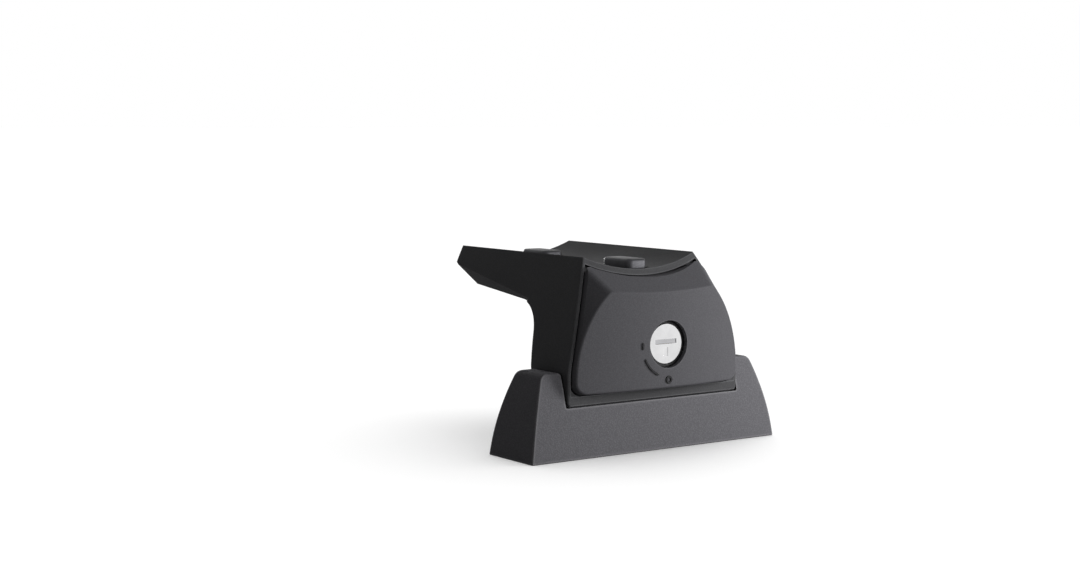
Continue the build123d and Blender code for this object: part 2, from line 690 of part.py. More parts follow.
def make_lock_plug():
    """The turning plug: bright head with a keyway, a pointer, wafer slots and a flatted tenon."""
    plug = lock_round(LOCK_HEAD, LOCK_FACE, HEAD_REAR)
    rim = plug.edges().filter_by(GeomType.CIRCLE).sort_by(Axis.Y)[0]
    plug = chamfer(rim, LOCK_HEAD_CHAMFER)
    plug = plug + lock_round(LOCK_PLUG, HEAD_REAR - SIDE_PLAY, TONGUE_FRONT)
    tenon = lock_round(TENON, TONGUE_FRONT - 1, TONGUE_REAR - SIDE_PLAY)
    plug = plug + (tenon & block(TENON_FLAT, -FAR, FAR, 0, LIP, LOCK_SIDE))
    low = KEYWAY_AT - KEYWAY_HEIGHT / 2
    high = KEYWAY_AT + KEYWAY_HEIGHT / 2
    plug = plug - block(KEYWAY_WIDTH, -FAR, LOCK_FACE + KEYWAY_DEPTH, low, high, LOCK_SIDE)
    plug = plug - block(KEY_MOUTH, -FAR, LOCK_FACE + KEY_MOUTH_DEPTH, low, high, LOCK_SIDE)
    far = LOCK_UP - POINTER_FAR
    near = LOCK_UP - POINTER_NEAR
    plug = plug - block(POINTER_WIDTH, -FAR, LOCK_FACE + POINTER_DEPTH, far, near, LOCK_SIDE)
    for y in wafer_depths():
        width = WAFER_WIDTH + 2 * SIDE_PLAY
        plug = plug - block(width, y - RUN_FIT, y + WAFER + RUN_FIT, 0, LIP, LOCK_SIDE)
    return plug - lock_round(TONGUE_SCREW + THREAD_SLACK, SCREW_SEAT - TONGUE_SCREW_DEPTH - 1, FAR)


def make_lock_wafers():
    """Flat wafers in the plug, each with a window for the key."""
    wafers = []
    across = LOCK_PLUG + 2 * RUN_FIT - 2 * WAFER_CLEARANCE
    for y in wafer_depths():
        plate = block(WAFER_WIDTH, y, y + WAFER, 0, LIP, LOCK_SIDE) & lock_round(across, y, y + WAFER)
        low = KEYWAY_AT - KEYWAY_HEIGHT
        high = KEYWAY_AT + KEYWAY_HEIGHT
        wafers.append(plate - block(WAFER_WINDOW, -FAR, FAR, low, high, LOCK_SIDE))
    return group(wafers)


def make_lock_shutter():
    """Thin shutter that closes the key slot, just inside its mouth."""
    width = KEY_MOUTH - 2 * SIDE_PLAY
    half = KEYWAY_HEIGHT / 2 - SIDE_PLAY
    rear = LOCK_FACE + KEY_MOUTH_DEPTH
    return block(width, rear - SHUTTER_THICK, rear, KEYWAY_AT - half, KEYWAY_AT + half, LOCK_SIDE)


def make_lock_tongue():
    """Flat tongue that swings behind the leg's front frame."""
    half = TONGUE_WIDTH / 2
    straight = TONGUE_REACH - half
    shape = Circle(half) + Pos(-straight / 2, 0) * Rectangle(straight, TONGUE_WIDTH)
    shape = shape + Pos(-straight, 0) * Circle(half)
    hole = Circle(TENON / 2 + FIT_SLACK / 2) & Rectangle(TENON_FLAT + FIT_SLACK, TENON + 2)
    sketch = Plane.XZ.offset(-TONGUE_FRONT) * Pos(LOCK_SIDE, LOCK_UP) * (shape - hole)
    return extrude(sketch, amount=-TONGUE_THICK)


def make_tongue_washer():
    """Washer behind the tongue."""
    ring = lock_round(TONGUE_WASHER, TONGUE_REAR, SCREW_SEAT)
    return ring - lock_round(TONGUE_SCREW + 2 * HOLE_SLACK, -FAR, FAR)


def make_tongue_screw():
    """Pan-head screw that holds the tongue on the plug's tenon."""
    head = lock_round(TONGUE_SCREW_HEAD, SCREW_SEAT, SCREW_SEAT + TONGUE_SCREW_RISE)
    rim = head.edges().filter_by(GeomType.CIRCLE).sort_by(Axis.Y)[-1]
    head = fillet(rim, TONGUE_SCREW_RISE * 0.4)
    shank = lock_round(TONGUE_SCREW, SCREW_SEAT - TONGUE_SCREW_DEPTH, SCREW_SEAT + 1)
    arm = TONGUE_SCREW_CROSS / 2
    blade = TONGUE_SCREW_CROSS / 9
    front = SCREW_SEAT + TONGUE_SCREW_RISE / 2
    cross = block(2 * arm, front, FAR, LOCK_UP - blade, LOCK_UP + blade, LOCK_SIDE)
    cross = cross + block(2 * blade, front, FAR, LOCK_UP - arm, LOCK_UP + arm, LOCK_SIDE)
    return head + shank - cross


NODES = {
    "base_pad": make_base,
    "base_plate": make_base_plate,
    "base_nuts": make_base_nuts,
    "leg_body": make_leg,
    "leg_sleeves": make_leg_sleeves,
    "floor_plate": make_floor_plate,
    "leg_washers": make_leg_washers,
    "leg_spring_washers": make_spring_washers,
    "leg_bolts": make_leg_bolts,
    "seat_bolts": make_seat_bolts,
    "seat_washers": make_seat_washers,
    "seat_nuts": make_seat_nuts,
    "front_cover": make_cover,
    "lock_housing": make_lock_housing,
    "lock_nut": make_lock_nut,
    "lock_plug": make_lock_plug,
    "lock_wafers": make_lock_wafers,
    "lock_shutter": make_lock_shutter,
    "lock_tongue": make_lock_tongue,
    "tongue_washer": make_tongue_washer,
    "tongue_screw": make_tongue_screw,
}

for name, make in NODES.items():
    export_step(make(), "parts/" + name + ".step")
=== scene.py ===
import math

import bmesh
import bpy
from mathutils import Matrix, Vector


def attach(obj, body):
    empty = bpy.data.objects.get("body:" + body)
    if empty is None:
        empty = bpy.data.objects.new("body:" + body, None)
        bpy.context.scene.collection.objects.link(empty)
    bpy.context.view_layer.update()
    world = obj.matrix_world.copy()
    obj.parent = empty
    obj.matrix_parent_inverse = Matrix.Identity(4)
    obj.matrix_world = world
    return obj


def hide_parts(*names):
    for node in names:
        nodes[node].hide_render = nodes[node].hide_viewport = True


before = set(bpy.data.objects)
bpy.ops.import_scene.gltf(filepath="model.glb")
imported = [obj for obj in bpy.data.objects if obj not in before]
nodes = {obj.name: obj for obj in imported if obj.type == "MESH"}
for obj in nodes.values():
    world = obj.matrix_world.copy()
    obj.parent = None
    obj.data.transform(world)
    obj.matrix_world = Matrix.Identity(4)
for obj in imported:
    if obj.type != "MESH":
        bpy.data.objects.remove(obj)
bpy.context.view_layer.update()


# Saddle base: one block of black rubber compound, pressed in a spark-eroded mould.
# It stands on the roof, held down by the plate in its bed, and its two ears wrap the leg's foot.
# The skin is an even fine pebble that takes light as dark grey.

def place(tree, kind, **settings):
    """One shader node, with its own properties set."""
    node = tree.nodes.new("ShaderNode" + kind)
    for name, value in settings.items():
        setattr(node, name, value)
    return node


def reckon(tree, operation, first, second, clamp=False):
    """Two sockets or numbers put together; returns the result's socket."""
    node = place(tree, "Math", operation=operation, use_clamp=clamp)
    for socket, value in zip(node.inputs, (first, second)):
        if isinstance(value, bpy.types.NodeSocket):
            tree.links.new(value, socket)
        else:
            socket.default_value = value
    return node.outputs[0]


def start_effect(name, inputs, outputs):
    """An empty effect with named number inputs and named outputs."""
    effect = bpy.data.node_groups.new(name, "ShaderNodeTree")
    for label, value in inputs.items():
        socket = effect.interface.new_socket(label, in_out="INPUT", socket_type="NodeSocketFloat")
        socket.default_value = value
    for label in outputs:
        effect.interface.new_socket(label, in_out="OUTPUT", socket_type="NodeSocketFloat")
    return effect, effect.nodes.new("NodeGroupInput"), effect.nodes.new("NodeGroupOutput")


def make_moulded_grain():
    """The pebbled skin that a spark-eroded mould leaves: its height, and pale tops for the colour."""
    inputs, outputs = {"Grains per metre": 1500.0}, ["Height", "Tops"]
    effect, given, result = start_effect("moulded grain", inputs, outputs)
    where = place(effect, "TexCoord")
    fine = place(effect, "TexNoise")
    fine.inputs["Detail"].default_value = 3.0
    fine.inputs["Roughness"].default_value = 0.65
    pebble = place(effect, "TexVoronoi", feature="SMOOTH_F1")
    pebble.inputs["Smoothness"].default_value = 0.6
    effect.links.new(given.outputs[0], fine.inputs["Scale"])
    effect.links.new(reckon(effect, "MULTIPLY", given.outputs[0], 0.8), pebble.inputs["Scale"])
    for texture in (fine, pebble):
        effect.links.new(where.outputs["Object"], texture.inputs["Vector"])
    dome = reckon(effect, "SUBTRACT", 1.0, pebble.outputs["Distance"])
    height = reckon(effect, "MULTIPLY", dome, fine.outputs["Fac"])
    effect.links.new(height, result.inputs["Height"])
    tops = place(effect, "MapRange")
    tops.inputs["From Min"].default_value = 0.18
    tops.inputs["From Max"].default_value = 0.52
    effect.links.new(height, tops.inputs["Value"])
    effect.links.new(tops.outputs[0], result.inputs["Tops"])
    return effect


def make_scuff_and_highlight():
    """Where handling has polished a part's outer edges, with a painted highlight along them too, broken
    up so that no line is even.
    """
    effect, given, result = start_effect("scuff and highlight", {"Reach": 0.0008, "Gain": 6.0}, ["Mask"])
    soft = place(effect, "Bevel", samples=6)
    effect.links.new(given.outputs["Reach"], soft.inputs["Radius"])
    flat = place(effect, "NewGeometry")
    turn = place(effect, "VectorMath", operation="DOT_PRODUCT")
    effect.links.new(soft.outputs[0], turn.inputs[0])
    effect.links.new(flat.outputs["Normal"], turn.inputs[1])
    bend = reckon(effect, "SUBTRACT", 1.0, turn.outputs["Value"])
    where = place(effect, "TexCoord")
    patches = place(effect, "TexNoise")
    patches.inputs["Scale"].default_value = 260.0
    patches.inputs["Detail"].default_value = 4.0
    effect.links.new(where.outputs["Object"], patches.inputs["Vector"])
    scuffed_highlit = reckon(effect, "MULTIPLY", bend, given.outputs["Gain"])
    scuffed_highlit = reckon(effect, "MULTIPLY", scuffed_highlit, patches.outputs["Fac"], clamp=True)
    effect.links.new(scuffed_highlit, result.inputs["Mask"])
    return effect


def make_shaded_gaps():
    """Painted shade in narrow gaps and inner corners, darker the more closed in they are."""
    effect, given, result = start_effect("shaded gaps", {"Reach": 0.0012}, ["Mask"])
    shelter = place(effect, "AmbientOcclusion", samples=6)
    effect.links.new(given.outputs["Reach"], shelter.inputs["Distance"])
    depth = place(effect, "MapRange")
    depth.inputs["From Min"].default_value = 0.75
    depth.inputs["From Max"].default_value = 0.30
    effect.links.new(shelter.outputs["AO"], depth.inputs["Value"])
    effect.links.new(depth.outputs[0], result.inputs["Mask"])
    return effect


def make_handled_skin():
    """Slow drifts of shine from handling and washing, as a number round one half."""
    effect, given, result = start_effect("handled skin", {"Drifts per metre": 45.0}, ["Drift"])
    where = place(effect, "TexCoord")
    drift = place(effect, "TexNoise")
    drift.inputs["Detail"].default_value = 5.0
    drift.inputs["Distortion"].default_value = 0.4
    effect.links.new(given.outputs[0], drift.inputs["Scale"])
    effect.links.new(where.outputs["Object"], drift.inputs["Vector"])
    effect.links.new(drift.outputs["Fac"], result.inputs["Drift"])
    return effect


moulded_grain = make_moulded_grain()
scuff_and_highlight = make_scuff_and_highlight()
shaded_gaps = make_shaded_gaps()
handled_skin = make_handled_skin()


def use_effect(tree, effect, **values):
    """Places a shared effect in a material with this material's own values."""
    node = tree.nodes.new("ShaderNodeGroup")
    node.node_tree = effect
    for label, value in values.items():
        node.inputs[label.replace("_", " ")].default_value = value
    return node


def blend_colour(tree, mask, low, high):
    """A colour that goes from low to high with a mask; either end may be a socket."""
    node = place(tree, "Mix", data_type="RGBA")
    tree.links.new(mask, node.inputs["Factor"])
    for socket, colour in ((node.inputs[6], low), (node.inputs[7], high)):
        if isinstance(colour, bpy.types.NodeSocket):
            tree.links.new(colour, socket)
        else:
            socket.default_value = (*colour, 1.0)
    return node.outputs[2]


def spread(tree, value, low, high):
    """A number from 0 to 1 spread between two limits."""
    node = place(tree, "MapRange")
    node.inputs["To Min"].default_value = low
    node.inputs["To Max"].default_value = high
    tree.links.new(value, node.inputs["Value"])
    return node.outputs[0]


def raise_relief(tree, shader, height, strength, distance):
    """Puts a height on a shader as relief."""
    relief = place(tree, "Bump")
    relief.inputs["Strength"].default_value = strength
    relief.inputs["Distance"].default_value = distance
    tree.links.new(height, relief.inputs["Height"])
    tree.links.new(relief.outputs[0], shader.inputs["Normal"])


def start_finish(name):
    """An empty finish; returns it with its node tree and shader."""
    finish = bpy.data.materials.new(name)
    finish.use_nodes = True
    return finish, finish.node_tree, finish.node_tree.nodes["Principled BSDF"]


def moulded_finish(name, dark, pale, scuff_highlight_colour, scuff_highlight_reach_gain, grains, relief, rough, shine):
    """A moulded, grained skin: colour, grain, worn edges with a painted highlight, painted shade in
    gaps and drifts of shine.
    """
    finish, tree, shader = start_finish(name)
    grain = use_effect(tree, moulded_grain, Grains_per_metre=grains)
    edges = use_effect(tree, scuff_and_highlight, Reach=scuff_highlight_reach_gain[0], Gain=scuff_highlight_reach_gain[1])
    gaps = use_effect(tree, shaded_gaps, Reach=0.0012)
    skin = use_effect(tree, handled_skin, Drifts_per_metre=40.0)
    colour = blend_colour(tree, grain.outputs["Tops"], dark, pale)
    # Outer edges turn lighter: partly wear, partly a painted highlight.
    colour = blend_colour(tree, edges.outputs["Mask"], colour, scuff_highlight_colour)
    # Narrow gaps and inner corners turn darker: painted shade.
    colour = blend_colour(tree, gaps.outputs["Mask"], colour, tuple(0.22 * part for part in dark))
    tree.links.new(colour, shader.inputs["Base Color"])
    tree.links.new(spread(tree, skin.outputs["Drift"], rough[0], rough[1]), shader.inputs["Roughness"])
    raise_relief(tree, shader, grain.outputs["Height"], relief[0], relief[1])
    shader.inputs["Specular IOR Level"].default_value = shine
    return finish


def finish_nodes(finish, *names):
    """Gives CAD nodes their finish."""
    for name in names:
        slots = nodes[name].data.materials
        slots.clear()
        slots.append(finish)


# The saddle's pale edge colour and strong edge mask paint a highlight line along its crisp edges, on
# top of wear.
saddle_rubber = moulded_finish(
    "saddle_rubber",
    dark=(0.096, 0.0945, 0.102),
    pale=(0.126, 0.124, 0.134),
    scuff_highlight_colour=(0.185, 0.183, 0.192),
    scuff_highlight_reach_gain=(0.0016, 22.0),
    grains=2100.0,
    relief=(0.38, 0.0002),
    rough=(0.55, 0.75),
    shine=0.02,
)


def smooth_skin(mesh):
    """Smooth shading, with every edge of 32 degrees and more left sharp."""
    mesh.shade_smooth()
    mesh.set_sharp_from_angle(angle=math.radians(32.0))


def shell_mesh(name, shells):
    """Closed skins over rings of points, each capped at its ends or joined round to its start."""
    points, faces = [], []
    for rings, joined in shells:
        first, count = len(points), len(rings[0])
        points += [point for ring in rings for point in ring]
        for i in range(len(rings) if joined else len(rings) - 1):
            a, b = first + i * count, first + (i + 1) % len(rings) * count
            faces += [(a + j, a + (j + 1) % count, b + (j + 1) % count, b + j) for j in range(count)]
        if not joined:
            last = first + (len(rings) - 1) * count
            faces += [tuple(range(first + count - 1, first - 1, -1)), tuple(range(last, last + count))]
    mesh = bpy.data.meshes.new(name)
    mesh.from_pydata(points, [], faces)
    work = bmesh.new()
    work.from_mesh(mesh)
    bmesh.ops.recalc_face_normals(work, faces=work.faces)
    work.to_mesh(mesh)
    work.free()
    smooth_skin(mesh)
    return mesh


def fit_piece(name, mesh, finish, body):
    """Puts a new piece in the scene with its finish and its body."""
    piece = bpy.data.objects.new(name, mesh)
    bpy.context.scene.collection.objects.link(piece)
    mesh.materials.append(finish)
    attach(piece, body)
    return piece


mm = 0.001
saddle_length, saddle_depth = 123.0, 30.2
saddle_top_length, saddle_top_depth = 105.0, 16.4
wall_top, wall_bulge = 34.5, 1.2
ear_top = 33.7
ear_turn, top_turn, corner_turn, sole_ease = 3.6, 1.1, 0.4, 0.2


def saddle_half(low, high, turn):
    """Half the saddle's length or depth at a height: a bulged wall turned over into a level top."""
    def wall(z):
        share = z / wall_top
        return (low + (high - low) * share) / 2.0 + 4.0 * wall_bulge * share * (1.0 - share)

    lean = math.atan((wall(ear_top - 3.0) - wall(ear_top - 1.0)) / 2.0)
    meet = ear_top - turn + turn * math.sin(lean)
    centre = wall(meet) - turn * math.cos(lean)

    def half(z):
        if z <= meet:
            return wall(z)
        return centre + math.sqrt(max(0.0, turn ** 2 - (z - ear_top + turn) ** 2))
    return half


def saddle_ring(z, half_x, half_y):
    """The saddle's outline at a height, with crisp corners and points along its straight runs."""
    ring = []
    along = [0.004] + [i / 16.0 for i in range(1, 16)] + [0.996]
    across = [0.016, 0.25, 0.5, 0.75, 0.984]
    for k, (sx, sy) in enumerate(((1, 1), (-1, 1), (-1, -1), (1, -1))):
        at = Vector((sx * (half_x - corner_turn), sy * (half_y - corner_turn)))
        for i in range(7):
            angle = math.pi / 2.0 * (k + i / 6.0)
            ring.append(at + corner_turn * Vector((math.cos(angle), math.sin(angle))))
        nx, ny = ((-1, 1), (-1, -1), (1, -1), (1, 1))[k]
        angle = math.pi / 2.0 * (k + 1)
        rim = corner_turn * Vector((math.cos(angle), math.sin(angle)))
        to = Vector((nx * (half_x - corner_turn), ny * (half_y - corner_turn)))
        ring += [at.lerp(to, share) + rim for share in (along if k % 2 == 0 else across)]
    return [Vector((point.x, point.y, z)) * mm for point in ring]


def saddle_body():
    """The saddle's outer form from the roof up to its ears' top."""
    half_x = saddle_half(saddle_length, saddle_top_length, ear_turn)
    half_y = saddle_half(saddle_depth, saddle_top_depth, top_turn)
    heights = {sole_ease} | {1.6 * i for i in range(1, 20)}
    for turn in (ear_turn, top_turn):
        heights |= {ear_top - turn + turn * math.sin(math.radians(angle)) for angle in range(20, 91, 7)}
    heights = sorted(heights | {ear_top})
    rings = [saddle_ring(0.0, half_x(0.0) - sole_ease, half_y(0.0) - sole_ease)]
    return rings + [saddle_ring(z, half_x(z), half_y(z)) for z in heights], False


def cutter_along_depth(profile):
    """A cutter with one front view, carried through the saddle's depth."""
    ends = (-saddle_depth, saddle_depth)
    return [[Vector((x, y, z)) * mm for x, z in profile] for y in ends], False


def cutter_upright(outline, low, high):
    """A cutter with one plan, between two heights."""
    return [[Vector((x, y, z)) * mm for x, y in outline] for z in (low, high)], False


def cut_away(piece, cuts):
    """Takes shells out of a piece for good."""
    cutters = []
    for shell in cuts:
        cutter = bpy.data.objects.new("cutter", shell_mesh("cutter", [shell]))
        bpy.context.scene.collection.objects.link(cutter)
        cut = piece.modifiers.new("cut", "BOOLEAN")
        cut.operation, cut.solver, cut.object = "DIFFERENCE", "EXACT", cutter
        cutters.append(cutter)
    made = piece.evaluated_get(bpy.context.evaluated_depsgraph_get())
    mesh = bpy.data.meshes.new_from_object(made)
    piece.modifiers.clear()
    piece.data = mesh
    smooth_skin(mesh)
    for cutter in cutters:
        bpy.data.objects.remove(cutter)


def corner_points(x, z, radius, start, step, count):
    """Points along a round corner of a front view, from a start angle on in even steps."""
    angles = [math.radians(start + step * i) for i in range(count)]
    return [(x + radius * math.cos(angle), z + radius * math.sin(angle)) for angle in angles]


def oblong(x, half_x, half_y):
    """A rectangle's plan round a point on the saddle's length."""
    return [(x + half_x, half_y), (x - half_x, half_y), (x - half_x, -half_y), (x + half_x, -half_y)]


def around(x, radius, count):
    """A round or many-sided plan round a point on the saddle's length."""
    plan = []
    for i in range(count):
        angle = 2.0 * math.pi * i / count
        plan.append((x + radius * math.cos(angle), radius * math.sin(angle)))
    return plan


slot_half, slot_floor = 43.7, 20.0
slot_turn, lip_turn = 0.8, 1.5
bed_half_length, bed_half_depth, bed_floor = 41.2, 9.5, 15.0
leg_bolts_at, nut_room_flats, nut_room_floor = (-31.0, 31.0), 13.4, 6.5
roof_bolts_at, roof_hole_radius = (-16.0, 16.0), 4.5
ear_cores_at, core_half_length, core_half_depth, core_top = (-49.3, 49.3), 3.5, 5.5, 26.0
past = 1.0

slot_side = [(slot_half + lip_turn, ear_top + past)]
slot_side += corner_points(slot_half + lip_turn, ear_top - lip_turn, lip_turn, 90.0, 11.25, 9)
slot_side += corner_points(slot_half - slot_turn, slot_floor + slot_turn, slot_turn, 0.0, -15.0, 7)
slot_view = slot_side + [(-x, z) for x, z in reversed(slot_side)]
plate_bed = oblong(0.0, bed_half_length, bed_half_depth)
saddle_cuts = [cutter_along_depth(slot_view), cutter_upright(plate_bed, bed_floor, slot_floor + past)]
for x in leg_bolts_at:
    room = around(x, nut_room_flats / math.sqrt(3.0), 6)
    saddle_cuts.append(cutter_upright(room, nut_room_floor, slot_floor))
for x in roof_bolts_at:
    saddle_cuts.append(cutter_upright(around(x, roof_hole_radius, 48), -past, slot_floor))
for x in ear_cores_at:
    saddle_cuts.append(cutter_upright(oblong(x, core_half_length, core_half_depth), -past, core_top))

saddle_mesh = shell_mesh("saddle_base", [saddle_body()])
saddle = fit_piece("saddle_base", saddle_mesh, saddle_rubber, "foot")
cut_away(saddle, saddle_cuts)
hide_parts("base_pad")
finish_nodes(saddle_rubber, "base_pad")


# Base plate and its nuts: hot-rolled steel plate, drilled and countersunk for the roof bolts.
# The nuts are welded under it, and the whole is zinc plated, dull and even with faint rolling lines.

def plated_finish(name, colour, stain, rough, lines):
    """Plated steel: faint lines from rolling or turning, and slow stains in the plating."""
    finish, tree, shader = start_finish(name)
    shader.inputs["Metallic"].default_value = 1.0
    skin = use_effect(tree, handled_skin, Drifts_per_metre=130.0)
    edges = use_effect(tree, scuff_and_highlight, Reach=0.0004, Gain=5.0)
    plating = blend_colour(tree, skin.outputs["Drift"], stain, colour)
    bright = tuple(min(1.0, 1.25 * part) for part in colour)
    # Edges turn brighter: partly wear, partly a painted highlight.
    scuffed_highlit = blend_colour(tree, edges.outputs["Mask"], plating, bright)
    tree.links.new(scuffed_highlit, shader.inputs["Base Color"])
    where = place(tree, "TexCoord")
    stretch = place(tree, "Mapping")
    stretch.inputs["Scale"].default_value = lines
    streaks = place(tree, "TexNoise")
    streaks.inputs["Scale"].default_value = 1.0
    streaks.inputs["Detail"].default_value = 2.0
    tree.links.new(where.outputs["Object"], stretch.inputs["Vector"])
    tree.links.new(stretch.outputs[0], streaks.inputs["Vector"])
    tree.links.new(spread(tree, streaks.outputs["Fac"], rough[0], rough[1]), shader.inputs["Roughness"])
    raise_relief(tree, shader, streaks.outputs["Fac"], 0.12, 0.0001)
    return finish


zinc_plate = plated_finish(
    "zinc_plate",
    colour=(0.56, 0.56, 0.57),
    stain=(0.40, 0.40, 0.42),
    rough=(0.28, 0.5),
    lines=(150.0, 2600.0, 2600.0),
)
finish_nodes(zinc_plate, "base_plate", "base_nuts")


# Leg: one moulding in black glass-filled nylon, a hollow column that reaches inboard as an arm.
# Its front is open behind the cover, with webs that round the rebate's lower corners.
# Two bolts hold it down in the base, and its skin is finer and blacker than the base's.

leg_nylon = moulded_finish(
    "leg_nylon",
    dark=(0.055, 0.055, 0.0575),
    pale=(0.071, 0.071, 0.0735),
    scuff_highlight_colour=(0.115, 0.115, 0.12),
    scuff_highlight_reach_gain=(0.0009, 12.0),
    grains=2600.0,
    relief=(0.15, 0.0001),
    rough=(0.45, 0.62),
    shine=0.02,
)
finish_nodes(leg_nylon, "leg_body")

rebate_half, ledge_top = 41.7, 24.4
rebate_floor, leg_front = -10.2, -12.6
corner_x, corner_z, corner_sweep = 36.5, 30.1, 5.7
let_in = 0.15


def rebate_corner(side):
    """A round inner corner of the cover's rebate: a web with a hollow curve, eased at its front."""
    outer, low = rebate_half + let_in, ledge_top - let_in
    steps = [
        (rebate_floor + let_in, 0.0),
        (leg_front + 0.3, 0.0),
        (leg_front + 0.12, 0.06),
        (leg_front + 0.03, 0.22),
    ]
    rings = []
    for y, eased in steps:
        sweep = corner_sweep + eased
        start = -math.degrees(math.acos((outer - corner_x) / sweep))
        hollow = corner_points(corner_x, corner_z, sweep, start, (-80.0 - start) / 12.0, 13)
        ring = [(outer, low)] + hollow + [(hollow[-1][0], low)]
        rings.append([Vector((side * x, y, z)) * mm for x, z in ring])
    return rings, False


corner_mesh = shell_mesh("rebate_corners", [rebate_corner(side) for side in (-1.0, 1.0)])
fit_piece("rebate_corners", corner_mesh, leg_nylon, "foot")


# Sleeves, floor plate and flat washers: steel that takes the clamp load through the leg's floor.
# They are cut or pressed, zinc plated like the base plate, and held by the leg bolts.

finish_nodes(zinc_plate, "leg_sleeves", "floor_plate", "leg_washers")


# Leg bolts and their split washers: high-tensile socket-head bolts, blackened and oiled.
# The heads are knurled for the fingers. They clamp the leg down to the plate in the base.

def upright_ring(x, y, z, radius, count):
    """Points round an upright axis, in millimetres; the radius may change with the angle."""
    ring = []
    for i in range(count):
        angle = 2.0 * math.pi * i / count
        r = radius(angle) if callable(radius) else radius
        ring.append(Vector((x + r * math.cos(angle), y + r * math.sin(angle), z)) * mm)
    return ring


def hexagon(flats):
    """Radius of a hexagon's side at an angle."""
    return lambda angle: flats / 2.0 / math.cos((angle % (math.pi / 3.0)) - math.pi / 6.0)


bolt_tip, bolt_seat, bolt_shank = 7.1, 32.1, 4.0
bolt_head, bolt_head_height = 6.5, 8.0
bolt_key, bolt_socket_depth = 6.0, 4.0


def knurl(angle):
    """Radius of the bolt's knurled head at an angle."""
    return bolt_head - 0.13 * (0.5 + 0.5 * math.cos(48.0 * angle))


def socket_bolt(x):
    """An M8 socket-head bolt from its tip up over the knurled head to the socket's floor."""
    seat, top = bolt_seat, bolt_seat + bolt_head_height
    rim, wall = bolt_head - 0.6, bolt_head - 0.1
    steps = [
        (bolt_tip, bolt_shank - 1.0), (bolt_tip + 1.0, bolt_shank), (seat, bolt_shank),
        (seat, rim), (seat + 0.5, wall), (seat + 0.9, knurl),
        (top - 1.4, knurl), (top - 0.9, wall), (top - 0.25, rim + 0.1), (top, rim - 0.5),
        (top, bolt_key / 2.0 + 0.75), (top - 0.45, hexagon(bolt_key)),
        (top - bolt_socket_depth, hexagon(bolt_key)), (top - bolt_socket_depth - 0.5, 1.2),
    ]
    return [upright_ring(x, 0.0, z, radius, 192) for z, radius in steps], False


black_oxide = plated_finish(
    "black_oxide",
    colour=(0.050, 0.050, 0.054),
    stain=(0.026, 0.026, 0.028),
    rough=(0.44, 0.62),
    lines=(900.0, 900.0, 2400.0),
)
leg_bolt_mesh = shell_mesh("leg_bolts_knurled", [socket_bolt(x) for x in leg_bolts_at])
leg_bolts = fit_piece("leg_bolts_knurled", leg_bolt_mesh, black_oxide, "foot")
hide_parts("leg_bolts")
finish_nodes(black_oxide, "leg_bolts", "leg_spring_washers")


# Seat bolts: forged T-heads that stand in the seat for a bar's slot, on M6 shanks with a rolled thread.
# Washers and nuts under the seat draw them down. All are blackened like the leg bolts.

def thread_ring(x, y, z, radius, depth, pitch, count):
    """One level of a screw thread: the ring's radius follows the helix."""
    def helix(angle):
        turn = (z / pitch - angle / (2.0 * math.pi)) % 1.0
        return radius - depth * abs(2.0 * turn - 1.0)
    return upright_ring(x, y, z, helix, count)


def threaded_shank(x, y, low, high, radius, pitch):
    """A threaded rod with a tapered tip below."""
    depth = 0.6 * pitch
    rings = [upright_ring(x, y, low, radius - depth - 0.5, 48)]
    steps = int((high - low - 0.6) / pitch * 6.0)
    for i in range(steps + 1):
        z = low + 0.6 + i * (high - low - 0.6) / steps
        rings.append(thread_ring(x, y, z, radius, depth, pitch, 48))
    return rings, False


def tee_ring(y, z, width, length, corner):
    """A rectangle with round corners, level at z, in millimetres."""
    ring = []
    for k, (sx, sy) in enumerate(((1, 1), (-1, 1), (-1, -1), (1, -1))):
        for i in range(9):
            angle = math.pi / 2.0 * (k + i / 8.0)
            px = sx * (width / 2.0 - corner) + corner * math.cos(angle)
            py = sy * (length / 2.0 - corner) + corner * math.sin(angle)
            ring.append(Vector((px, y + py, z)) * mm)
    return ring


seat_bolts_at = (7.6, 66.0)
tee_low, tee_top = 72.0, 76.0
tee_width, tee_length, tee_corner = 10.0, 18.0, 2.5
shank_tip, shank_top, shank_radius, shank_pitch = 58.4, 72.2, 3.0, 1.0
seat_nut_low, seat_nut_top, seat_nut_flats, seat_nut_bore = 59.4, 65.4, 10.0, 2.8


def tee_head(y):
    """A forged T-head: a rounded block, drawn in below and crowned a little on top."""
    steps = [
        (tee_low, 0.35), (tee_low + 0.3, 0.0), (tee_top - 1.1, 0.0),
        (tee_top - 0.55, 0.17), (tee_top - 0.2, 0.5), (tee_top, 1.1),
    ]
    rings = []
    for z, inset in steps:
        width, length = tee_width - 2.0 * inset, tee_length - 2.0 * inset
        rings.append(tee_ring(y, z, width, length, tee_corner - inset))
    return rings, False


def turned_corners(y, z, land, away):
    """A nut's edge where a cone of 30 degrees has turned the hexagon's corners off."""
    side = hexagon(seat_nut_flats)
    ring = []
    for i in range(96):
        angle = 2.0 * math.pi * i / 96
        r = side(angle)
        drop = (r - land) * math.tan(math.radians(30.0)) * away
        ring.append(Vector((r * math.cos(angle), y + r * math.sin(angle), z + drop)) * mm)
    return ring


def hexagon_nut(y):
    """A chamfered nut: hexagon sides, corners turned off at both ends, bore eased."""
    low, high = seat_nut_low, seat_nut_top
    land, ease = 0.475 * seat_nut_flats, 0.4
    rings = [
        upright_ring(0.0, y, low, seat_nut_bore + ease, 96),
        upright_ring(0.0, y, low, land, 96),
        turned_corners(y, low, land, 1.0),
        turned_corners(y, high, land, -1.0),
        upright_ring(0.0, y, high, land, 96),
        upright_ring(0.0, y, high, seat_nut_bore + ease, 96),
        upright_ring(0.0, y, high - ease, seat_nut_bore, 96),
        upright_ring(0.0, y, low + ease, seat_nut_bore, 96),
    ]
    return rings, True


